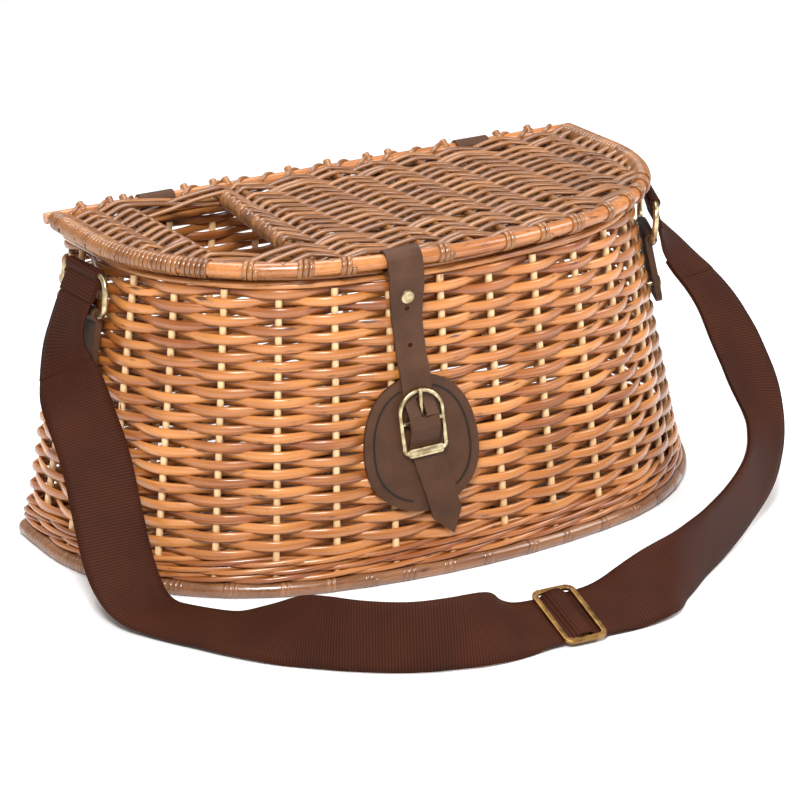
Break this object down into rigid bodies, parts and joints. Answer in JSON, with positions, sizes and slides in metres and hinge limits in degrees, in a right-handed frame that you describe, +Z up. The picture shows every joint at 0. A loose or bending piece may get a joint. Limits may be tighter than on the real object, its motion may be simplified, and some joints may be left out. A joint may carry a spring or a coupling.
{
  "type": "wicker fishing creel",
  "caption": "Woven D-shaped wicker fishing creel with a hinged lid, fish slot, leather buckle closure, ring tabs and a webbing shoulder strap with a slide.",
  "frame": {"origin": "under the middle of the basket's base, on the surface it stands on", "axes": "+X along the basket to its right seen from the front, -Y out of the front, +Z up"},
  "size_m": [0.4464, 0.3378, 0.1998],
  "materials": {
    "wicker": "varnished willow",
    "stakes": "peeled willow, varnished",
    "leather": "dark brown, matt",
    "thread": "dark waxed thread",
    "webbing": "brown ribbed webbing",
    "brass": "antique brass",
    "bronze": "dark bronze plated"
  },
  "bodies": {
    "basket": {"base_frame_rod": "wicker", "base_panel": "wicker", "base_stakes": "stakes", "basket_wall": "wicker", "border_rods": "wicker", "bottom_wale": "wicker", "wall_stakes": "stakes", "buckle_loop": "leather", "buckle_patch": "leather", "patch_stitches": "thread", "hinge_strap_left": "leather", "hinge_strap_right": "leather", "hinge_rivets": "brass", "ring_tab_left": "leather", "ring_tab_right": "leather", "tab_rivets": "brass", "shoulder_strap": "webbing"},
    "lid": {"lid_back_rod": "wicker", "lid_front_rod": "wicker", "lid_panel": "wicker", "lid_stakes": "stakes", "slot_stakes": "wicker", "closure_strap": "leather", "closure_rivet": "brass"},
    "buckle": {"buckle_frame": "brass"},
    "prong": {"buckle_prong": "brass"},
    "left_ring": {"ring_left": "brass", "strap_end_left": "webbing"},
    "right_ring": {"ring_right": "brass", "strap_end_right": "webbing"},
    "slide": {"strap_slide": "bronze"}
  },
  "joints": [
    {"name": "lid_hinge", "type": "hinge", "parent": "basket", "child": "lid", "pos_m": [0, 0.1, 0.19175], "axis": [-1, 0, 0], "range_deg": [0, 105], "deforming": ["closure_strap"]},
    {"name": "buckle_rock", "type": "hinge", "parent": "basket", "child": "buckle", "pos_m": [-0.03751, -0.0985, 0.09746], "axis": [0.9923, -0.1037, 0.0675], "range_deg": [-6, 6], "deforming": ["closure_strap"]},
    {"name": "prong_lift", "type": "hinge", "parent": "buckle", "child": "prong", "pos_m": [-0.03751, -0.0985, 0.09746], "axis": [0.9923, -0.1037, 0.0675], "range_deg": [0, 110], "deforming": ["closure_strap"]},
    {"name": "left_ring_swing", "type": "hinge", "parent": "basket", "child": "left_ring", "pos_m": [-0.18138, 0.04412, 0.15188], "axis": [0.0282, -0.9991, 0.0312], "range_deg": [-4, 60], "deforming": ["shoulder_strap"]},
    {"name": "right_ring_swing", "type": "hinge", "parent": "basket", "child": "right_ring", "pos_m": [0.17056, -0.00591, 0.15176], "axis": [0.3894, 0.921, 0.0077], "range_deg": [-14, 50], "deforming": ["shoulder_strap"]},
    {"name": "strap_adjust", "type": "slide", "parent": "basket", "child": "slide", "axis": [0.9987, -0.051, 0.0041], "range_m": [-0.012, 0.012], "deforming": ["shoulder_strap"]}
  ]
}
